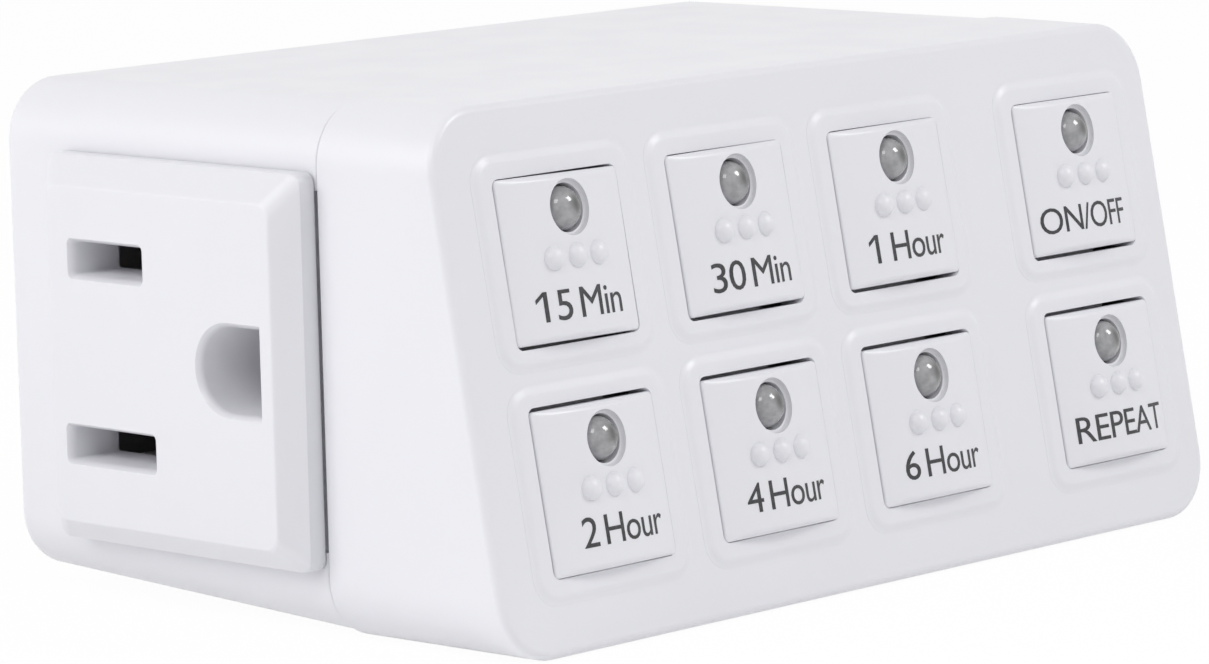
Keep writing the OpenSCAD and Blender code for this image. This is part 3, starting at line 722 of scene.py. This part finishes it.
def key_pad(row, column):
    """Raised pad round one key, with a soft rim."""
    slope, corner_r = 0.75, 2.0
    grow = 2 * size("pad_margin") + 0.3
    buried, foot = 0.6, 0.02
    steps = [(0, buried + foot)] + soft_step(slope, size("pad_rise") - foot)
    flat = outline(size("key_w") + grow, size("key_h") + grow, corner_r)
    return grown(flat, steps, on_keypad(row, column, (0, 0, -buried)))


def key_window(row, column):
    """Cutter for one key's window, with a small chamfer at its mouth."""
    width = size("key_w") + 2 * size("side_gap")
    height = size("key_h") + size("hinge_gap") + size("free_gap")
    upward = TO_HINGE[row] * (size("hinge_gap") - size("free_gap")) / 2
    chamfer, corner_r, above, deep = 0.04, 0.6, 1.0, 4
    flat = outline(width + 2 * chamfer, height + 2 * chamfer, corner_r, 6)
    steps = [(0, above - chamfer), (chamfer, 2 * chamfer), (0, deep)]
    return sunk(flat, steps, on_keypad(row, column, (0, upward, size("pad_rise") + above)))


# ---- keys ----

def crown(x, y=0):
    """Height of a key's crown over its side edges, at x and y from its middle.

    Towards the upper and lower edge the crown turns down along a quarter ellipse.
    """
    pillow = 0.5
    from_edge = min(pillow, max(0.0, size("key_h") / 2 - abs(y)))
    turn = math.sqrt(1 - (1 - from_edge / pillow) ** 2)
    return size("key_crown") * (1 - (x / (size("key_w") / 2)) ** 2) * turn


def key_cap():
    """Crowned key cap, as a bmesh."""
    width, height = size("key_w"), size("key_h")
    back, edge, corner_r = -1.6, 0.12, 0.35
    steps = [(0, key_edge_z() - back - edge)] + round_over(edge, 3)
    bm = grown(outline(width, height, corner_r, 5), steps, at(0, 0, back))
    strips = 28
    split(bm, [width * (i / strips - 0.5) for i in range(1, strips)])
    lines = [height / 2 - inset for inset in (0.02, 0.06, 0.12, 0.2, 0.3, 0.4, 0.5)]
    split(bm, lines + [-y for y in lines], "Y")
    for vertex in bm.verts:
        if vertex.co.z > back + 0.5:
            vertex.co.z += crown(vertex.co.x, vertex.co.y)
    return bm


def lamp_hole(row, drop):
    """Cutter for the lamp's hole, a slight cone with a rounded mouth, with room for the key's swing.

    drop is how far the key hangs below its seat, which its hole makes up for.
    """
    mouth_w, mouth_d = 0.24, 0.45
    taper, above, deep = (0.04, 0.7), 1.0, 6
    turn_in = [(fall * mouth_w, inset * mouth_d) for inset, fall in reversed(round_over(1, 6))]
    steps = [(0, above)] + turn_in + [taper, (0, deep)]
    narrow = 0.95
    top = key_edge_z() + size("key_crown")
    room = 0.06 * row
    middle = size("key_h") / 2 - size("lamp_drop") - room + drop
    return sunk(disc(size("lamp_hole_r") + mouth_w, 64), steps, at(0, middle, top + above), narrow)


def key_details(row):
    """Raised dots, and behind the cap the hinge's drop wall, arm and bead, the lip and the rib."""
    half_h = size("key_h") / 2
    to_hinge = TO_HINGE[row]
    details = bmesh.new()
    dot_rise = 0.6
    for x in (-size("dot_pitch"), 0, size("dot_pitch")):
        dot = bmesh.new()
        bmesh.ops.create_uvsphere(dot, u_segments=28, v_segments=14, radius=size("dot_r"))
        z = key_edge_z() + crown(x) + dot_rise - size("dot_r")
        move(dot, at(x, half_h - size("dots_drop"), z))
        join(details, dot)
    half_bead, half_lip = 3.3, 3.5
    root_z, hinge_z, lip_z = -1.4, -2.9, -2.8
    bars = (
        (half_bead, half_h - 1.2, half_h - 0.1, hinge_z, root_z),
        (half_bead, half_h - 1.2, half_h + 0.65, hinge_z, hinge_z + 0.7),
        (half_lip, 1 - half_h, 0.1 - half_h, lip_z, root_z),
        (half_lip, 1 - half_h, -1.2 - half_h, lip_z, lip_z + 0.85),
    )
    for half_w, start, end, z_low, z_high in bars:
        y_low, y_high = sorted((to_hinge * start, to_hinge * end))
        join(details, block((-half_w, y_low, z_low), (half_w, y_high, z_high), 0.08))
    bead_r, rib_r, rib_t = 0.6, 0.8, 0.8
    bead_y, rib_y = to_hinge * (half_h + 0.9), half_h - 7.4
    bead_place = at(-half_bead, bead_y, hinge_z) @ turned(90, "Y")
    join(details, grown(disc(bead_r, 32), [(0, 2 * half_bead)], bead_place))
    join(details, grown(disc(rib_r, 32), [(0, rib_t)], at(0, rib_y, -2.33)))
    return details


def key_place(row, column):
    """Place of a key on the keypad, slightly askew where it sits so in its window."""
    turn, drop, shift = SEATS.get(KEY_ROWS[row][column], USUAL_SEAT)
    return on_keypad(row, column, (shift, -drop, 0)) @ turned(turn, "Z")


def build_key(row, column):
    """One key, in its place on the keypad."""
    name = KEY_ROWS[row][column]
    _, drop, _ = SEATS.get(name, USUAL_SEAT)
    piece = raw_object("flap_" + name, key_cap())
    combine(piece, [lamp_hole(row, drop)])
    add_loose(piece, key_details(row))
    return finish_piece(piece, "key_white", "key_" + name + "_body",
                        key_place(row, column), ["key_" + name])


def span(bm, axis):
    """Lowest and highest place of a bmesh along an axis."""
    places = [vertex.co[axis] for vertex in bm.verts]
    return min(places), max(places)


def figure_flag(bm):
    """Slanting stroke at the top left of a figure one that stands first in a line of writing."""
    left = span(bm, 0)[0]
    bottom, top = span(bm, 1)
    tall = top - bottom
    wide, thick, slant = 0.27 * tall, 0.14 * tall, 0.85
    flag = outline(wide, thick, 0)[0]
    shear = Matrix(((1, 0, 0, 0), (slant, 1, 0, 0), (0, 0, 1, 0), (0, 0, 0, 1)))
    move(flag, at(left - wide / 2, top - thick / 2 - slant * wide / 2, 0) @ shear)
    return flag


def build_legend(row, column):
    """Printed legend on one key: the run time, or the key's function."""
    name = KEY_ROWS[row][column]
    text = bpy.data.curves.new("legend_" + name, "FONT")
    words, share, tall, shift, lower = LEGENDS[name]
    text.body = words
    text.resolution_u = 4
    text.space_character = 0.94
    text.space_word = 0.6
    mesh = evaluated_mesh(linked("writing", text))
    bpy.data.curves.remove(text)
    bm = bmesh.new()
    bm.from_mesh(mesh)
    bpy.data.meshes.remove(mesh)
    bmesh.ops.remove_doubles(bm, verts=bm.verts, dist=1e-5)
    if words.startswith("1"):
        join(bm, figure_flag(bm))
    (left, right), (bottom, top) = span(bm, 0), span(bm, 1)
    move(bm, at(-(left + right) / 2, -(bottom + top) / 2, 0))
    scale = (share * size("key_w") / (right - left), tall * size("legend_cap") / (top - bottom), 1)
    bmesh.ops.scale(bm, vec=scale, verts=bm.verts)
    move(bm, at(shift, 0, 0))
    split(bm, [0.4 * i for i in range(-14, 15)])
    bmesh.ops.triangulate(bm, faces=bm.faces)
    ink_t = 0.03
    solid = bmesh.ops.extrude_face_region(bm, geom=bm.faces[:])
    raised = [item for item in solid["geom"] if isinstance(item, bmesh.types.BMVert)]
    bmesh.ops.translate(bm, vec=(0, 0, ink_t), verts=raised)
    for vertex in bm.verts:
        vertex.co.z += key_edge_z() + crown(vertex.co.x) - ink_t / 3
    face_out(bm)
    piece = raw_object("print_" + name, bm)
    place = key_place(row, column) @ at(0, size("key_h") / 2 - size("legend_drop") - lower, 0)
    return finish_piece(piece, "legend_ink", "key_" + name + "_body", place)


def build_lamp(row, column):
    """One domed lamp behind its key, with its flange and leads."""
    name = KEY_ROWS[row][column]
    radius = size("lamp_r")
    flange_w, flange_t, edge = 0.4, 0.8, 0.1
    flange_z, dome_z, leads_z = -4.4, 0.2, -7
    steps = [(0, flange_t - edge), (edge, edge), (flange_w - edge, 0), (0, dome_z - flange_z - flange_t)]
    bm = grown(disc(radius + flange_w), steps + round_over(radius * 0.995, 14), at(0, 0, flange_z))
    half_t = 0.25
    for x in (-1.27, 1.27):
        join(bm, block((x - half_t, -half_t, leads_z), (x + half_t, half_t, flange_z + 0.3), 0.05))
    dome = bm.loops.layers.uv.new(DOME_MAP)
    for face in bm.faces:
        for loop in face.loops:
            loop[dome].uv = (0.5 + loop.vert.co.x / (2 * radius), 0.5 + loop.vert.co.y / (2 * radius))
    piece = raw_object("domed_lamp_" + name, bm)
    place = on_keypad(row, column, (0, size("key_h") / 2 - size("lamp_drop"), 0))
    return finish_piece(piece, "lamp_grey", CASE, place, ["lamp_" + name], 60)


# ---- outlet ----

def slot_cutter(width, height, corner, x, y, side=0, lead=0.3, lead_depth=0.7):
    """Cutter for one opening of the outlet, with a lead-in at its mouth."""
    above, deep = 1.0, 20
    flat = outline(width + 2 * lead, height + 2 * lead, corner + lead, 12, side)
    steps = [(0, above), (lead / 2, lead_depth * 0.3), (lead / 2, lead_depth * 0.7), (0, deep)]
    return sunk(flat, steps, at(x, y, size("plate_rise") + above))


def build_outlet_plate():
    """Bevelled outlet plate with two flat slots and a D-shaped ground hole, and its neck."""
    plate = outlet_frame()
    middle = plate.inverted() @ ((PLATE_LOW + PLATE_HIGH) / 2)
    width = PLATE_HIGH.y - PLATE_LOW.y
    height = PLATE_HIGH.z - PLATE_LOW.z
    rise, bevel = size("plate_rise"), size("plate_bevel")
    soft = 0.25
    lower_arc, upper_arc = round_over(soft, 4, 0, 45), round_over(soft, 4, 45, 90)
    slope = bevel - sum(inset for inset, climb in lower_arc + upper_arc)
    wall = rise - slope - sum(climb for inset, climb in lower_arc + upper_arc)
    bm, face = outline(width, height, 0)
    stack(bm, face, [(0, wall)] + lower_arc + [(slope, slope)] + upper_arc)
    widen = (size("plate_top_bevel") - bevel) / bevel
    for vertex in bm.verts:
        inset = height / 2 - vertex.co.y
        if inset < 2 * bevel:
            vertex.co.y -= widen * min(inset, bevel)
    corners = [edge for edge in bm.edges
               if all(edge.verts[0].co[axis] * edge.verts[1].co[axis] > 0 for axis in (0, 1))]
    soften(bm, corners, size("plate_corner_r"), 6, clamp_overlap=False)
    move(bm, at(middle.x, middle.y, 0))
    close_base(bm)
    split(bm, [0, size("ground_pitch")])
    piece = raw_object("outlet_plate", bm)
    neck_len, half_w, half_h = 7, 10.85, 9.4
    neck = block((middle.x - half_w, -half_h, -neck_len), (middle.x + half_w, half_h, rise - 1), 0.15)
    combine(piece, [neck], "UNION")
    half_pitch, ground_r = size("slot_pitch") / 2, size("ground_r")
    short_slot, long_slot, slot_t, slot_r = 7.0, 8.5, 2.2, 0.15
    behind_slots = rise - 4.4
    combine(piece, [
        slot_cutter(short_slot, slot_t, slot_r, 0, half_pitch),
        slot_cutter(long_slot, slot_t, slot_r, 0, -half_pitch),
        slot_cutter(2 * ground_r, 2 * ground_r, ground_r, size("ground_pitch"), 0, -1, 0.35, 0.6),
        block((-6, -8.2, -neck_len - 1), (6.5, 8.2, behind_slots), 0),
    ])
    return finish_piece(piece, "plate_white", CASE, plate, ["socket_plate"])


# ---- plug ----

def build_plug_base():
    """Raised square base round the blades and the pin, with its flange inside the case."""
    side, flange, corner_r = 22, 25, 3
    inner_y, soft = -7.2, 0.3
    bm = grown(outline(side, side, corner_r, 10), [(0, -inner_y - soft)] + round_over(soft, 3),
               at(0, 0, inner_y))
    join(bm, grown(outline(flange, flange, corner_r, 10), [(0, 1.3), (0.1, 0.1)],
                   at(0, 0, BACK_Y - size("wall") - 1.5)))
    piece = raw_object("plug_base", bm)
    recess_deep, above = 0.4, 1
    recess_place = at(0, -PLUG_MIDDLE_Z, -recess_deep)
    combine(piece, [grown(disc(size("pin_r") + 1.1, 64), [(0, recess_deep + above)], recess_place)])
    place = at(0, 0, PLUG_MIDDLE_Z) @ wall_frame()
    return finish_piece(piece, "case_white", CASE, place, ["plug_block"])


def build_blade(node):
    """Flat blade with rounded tip, chamfered edges and its hole."""
    low, high = box_mm(node)
    middle = (low + high) / 2
    long, wide, thick = high.y - low.y, high.z - low.z, high.x - low.x
    tip_r, chamfer = 2.0, 0.3
    bm = grown(outline(long, wide, tip_r, side=1), [(0, thick - chamfer), (chamfer, chamfer)])
    bottom = min(bm.faces, key=lambda face: face.calc_center_median().z)
    soften(bm, bottom.edges[:], chamfer, 1)
    piece = raw_object("flat_" + node, bm)
    hole_r, hole_y = 1.6, 11.7
    hole_place = at(hole_y - middle.y, 0, -thick)
    combine(piece, [grown(disc(hole_r, 40), [(0, 3 * thick)], hole_place)])
    axes = Matrix(((0, 0, 1, 0), (1, 0, 0, 0), (0, 1, 0, 0), (0, 0, 0, 1)))
    place = at(low.x, middle.y, middle.z) @ axes
    return finish_piece(piece, "plug_brass", CASE, place, [node])


def build_ground_pin():
    """Round ground pin with a domed tip, a waist inside the base and a collar."""
    low, high = box_mm("ground_pin")
    radius = size("pin_r")
    waist_r, collar_r, collar_t, edge = radius - 0.3, 3.2, 1.3, 0.1
    tip, waist_end = 1.6, -0.3
    dome = [(inset * 1.3, rise * tip) for inset, rise in round_over(1, 6)]
    bm = grown(disc(radius, 64), [(0, high.y - waist_end - tip)] + dome, at(0, 0, waist_end - low.y))
    join(bm, grown(disc(collar_r, 64), [
        (0, collar_t - edge), (edge, edge), (collar_r - waist_r - edge, 0),
        (0, waist_end - low.y - collar_t + 0.05),
    ]))
    piece = raw_object("round_ground_pin", bm)
    place = at(0, low.y, 0) @ turned(-90, "X")
    return finish_piece(piece, "plug_brass", CASE, place, ["ground_pin"])


# ---- pieces that keep their CAD shape ----

def coat(node, material_name):
    """Gives a CAD node its finish."""
    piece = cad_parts[node]
    for material_slot in piece.material_slots:
        material_slot.material = finish(material_name)


# ---- operators ----

class TIMER_OT_case(bpy.types.Operator):
    """Build the two shells of the case"""
    bl_idname = "timer.case"
    bl_label = "Case shells"

    def execute(self, context):
        build_rear_shell()
        build_front_shell()
        return {"FINISHED"}


class TIMER_OT_keys(bpy.types.Operator):
    """Build the eight hinged keys and their printed legends"""
    bl_idname = "timer.keys"
    bl_label = "Keys"

    def execute(self, context):
        for row, column in KEY_PLACES:
            build_key(row, column)
            build_legend(row, column)
        return {"FINISHED"}


class TIMER_OT_lamps(bpy.types.Operator):
    """Build the lamp behind each key"""
    bl_idname = "timer.lamps"
    bl_label = "Lamps"

    def execute(self, context):
        for row, column in KEY_PLACES:
            build_lamp(row, column)
        return {"FINISHED"}


class TIMER_OT_outlet(bpy.types.Operator):
    """Build the outlet plate and finish the core and contacts behind it"""
    bl_idname = "timer.outlet"
    bl_label = "Outlet"

    def execute(self, context):
        build_outlet_plate()
        coat("socket_core", "core_ivory")
        for pole in ("line", "neutral", "ground"):
            coat(pole + "_contact", "contact_brass")
            coat(pole + "_strap", "contact_brass")
        return {"FINISHED"}


class TIMER_OT_plug(bpy.types.Operator):
    """Build the plug's base, blades and ground pin"""
    bl_idname = "timer.plug"
    bl_label = "Plug"

    def execute(self, context):
        build_plug_base()
        build_blade("line_blade")
        build_blade("neutral_blade")
        build_ground_pin()
        return {"FINISHED"}


class TIMER_OT_inside(bpy.types.Operator):
    """Finish the frame, boards, switches, parts and screws inside the case"""
    bl_idname = "timer.inside"
    bl_label = "Inside"

    def execute(self, context):
        finishes = {
            "key_frame": "inner_white", "keypad_board": "board_green", "power_board": "board_green",
            "board_screws": "screw_zinc", "housing_screws": "screw_zinc", "microcontroller": "switch_black",
            "board_ribbon": "ribbon_grey", "relay": "relay_blue", "dropper_capacitor": "film_yellow",
            "smoothing_capacitor": "sleeve_navy", "varistor": "varistor_blue", "rectifier": "switch_black",
            "bleed_resistor": "resistor_lacquer",
        }
        for name in KEY_ROWS[0] + KEY_ROWS[1]:
            finishes["switch_" + name] = "switch_black"
            finishes["plunger_" + name] = "plunger_tan"
        for node, material_name in finishes.items():
            coat(node, material_name)
        return {"FINISHED"}


def plain_light(name, place, aim, side, power):
    """Soft square lamp that looks at a point."""
    data = bpy.data.lights.new(name, "AREA")
    data.shape = "SQUARE"
    data.size = side
    data.energy = power
    lamp = linked(name, data)
    turn = (aim - place).to_track_quat("-Z", "Y")
    lamp.matrix_world = Matrix.Translation(place) @ turn.to_matrix().to_4x4()


def white_to_the_eye(tree, shaded, white, share):
    """Mixes a shader with plain white for the rays that show a background."""
    rays = tree.nodes.new("ShaderNodeLightPath").outputs
    seen = rays["Is Camera Ray"]
    for kind in ("Is Glossy Ray", "Is Transmission Ray"):
        either = tree.nodes.new("ShaderNodeMath")
        either.operation = "MAXIMUM"
        tree.links.new(seen, either.inputs[0])
        tree.links.new(rays[kind], either.inputs[1])
        seen = either.outputs[0]
    amount = tree.nodes.new("ShaderNodeMath")
    amount.operation = "MULTIPLY"
    amount.inputs[1].default_value = share
    tree.links.new(seen, amount.inputs[0])
    mix = tree.nodes.new("ShaderNodeMixShader")
    tree.links.new(amount.outputs[0], mix.inputs["Fac"])
    tree.links.new(shaded, mix.inputs[1])
    tree.links.new(white, mix.inputs[2])
    return mix.outputs[0]


def build_world(ambient):
    """White surroundings: full white where they are seen, ambient where they light."""
    world = bpy.data.worlds.new("surroundings")
    bpy.context.scene.world = world
    world.use_nodes = True
    tree = world.node_tree
    lighting = tree.nodes["Background"]
    white = tree.nodes.new("ShaderNodeBackground")
    for background, strength in ((lighting, ambient), (white, 1)):
        background.inputs["Color"].default_value = (1, 1, 1, 1)
        background.inputs["Strength"].default_value = strength
    shown = white_to_the_eye(tree, lighting.outputs[0], white.outputs[0], 1)
    tree.links.new(shown, tree.nodes["World Output"].inputs["Surface"])


def build_floor():
    """Plain pale floor under the case, white to the eye apart from a trace of shadow."""
    radius, pale, share = 2.5, 0.97, 0.97
    floor = raw_object("floor", disc(radius, 96)[0])
    floor.data.transform(at(0, 0, BASE_Z * MM))
    recipe = Recipe("pale_floor")
    recipe.shader.inputs["Base Color"].default_value = (pale, pale, pale, 1)
    recipe.shader.inputs["Roughness"].default_value = 0.9
    white = recipe.node("ShaderNodeEmission")
    shown = white_to_the_eye(recipe.tree, recipe.shader.outputs[0], white.outputs[0], share)
    recipe.link(shown, recipe.tree.nodes["Material Output"].inputs["Surface"])
    floor.data.materials.append(recipe.material)


def build_camera():
    """Camera to the left of the keypad and a little above it."""
    azimuth, elevation, roll = 45.98, 8.21, -1.45
    distance = 0.41542
    target = Vector((2.26, -20.5, 3.6)) * MM
    data = bpy.data.cameras.new("camera")
    data.sensor_width = 36
    data.lens = 172.73
    data.clip_start = 0.01
    data.clip_end = 20
    camera = linked("camera", data)
    turn = turned(-azimuth, "Z") @ turned(90 - elevation, "X") @ turned(roll, "Z")
    camera.matrix_world = Matrix.Translation(target) @ turn @ at(0, 0, distance)
    bpy.context.scene.camera = camera


class TIMER_OT_stage(bpy.types.Operator):
    """Set the floor, the soft lamps, the surroundings and the camera"""
    bl_idname = "timer.stage"
    bl_label = "Stage"

    def execute(self, context):
        context.scene.view_settings.view_transform = "Standard"
        build_world(ambient=0.42)
        build_floor()
        aim = Vector((0, -20, 5)) * MM
        reach = 0.6
        lights = (
            ("left_light", (-0.8, 0.38, 0.47), 0.4, 1.4),
            ("corner_light", (-0.65, -0.33, 0.68), 0.2, 0.45),
            ("front_light", (0.354, -0.631, 0.688), 0.2, 1.12),
        )
        for name, way, side, power in lights:
            plain_light(name, aim + Vector(way) * reach, aim, side, power)
        build_camera()
        return {"FINISHED"}


class TIMER_PT_panel(bpy.types.Panel):
    """Sizes, colours and build steps of the timer"""
    bl_label = "Plug-in Timer"
    bl_idname = "TIMER_PT_panel"
    bl_space_type = "VIEW_3D"
    bl_region_type = "UI"
    bl_category = "Timer"

    def draw(self, context):
        layout = self.layout
        for group in (context.scene.timer_sizes, context.scene.timer_colours):
            column = layout.column(align=True)
            for name in group.__annotations__:
                column.prop(group, name)
        for operator in BUILD_ORDER:
            layout.operator(operator.bl_idname)


BUILD_ORDER = (TIMER_OT_stage, TIMER_OT_case, TIMER_OT_keys, TIMER_OT_lamps, TIMER_OT_outlet,
               TIMER_OT_plug, TIMER_OT_inside)
CLASSES = (TimerSizes, TimerColours) + BUILD_ORDER + (TIMER_PT_panel,)


def register():
    """Registers the classes and hangs the two property groups on the scene."""
    for cls in CLASSES:
        bpy.utils.register_class(cls)
    bpy.types.Scene.timer_sizes = PointerProperty(type=TimerSizes)
    bpy.types.Scene.timer_colours = PointerProperty(type=TimerColours)


def unregister():
    """Takes the property groups and classes away again."""
    del bpy.types.Scene.timer_colours
    del bpy.types.Scene.timer_sizes
    for cls in reversed(CLASSES):
        bpy.utils.unregister_class(cls)


def main():
    register()
    bpy.ops.timer.stage()
    bpy.ops.timer.case()
    bpy.ops.timer.keys()
    bpy.ops.timer.lamps()
    bpy.ops.timer.outlet()
    bpy.ops.timer.plug()
    bpy.ops.timer.inside()


if __name__ == "__main__":
    main()
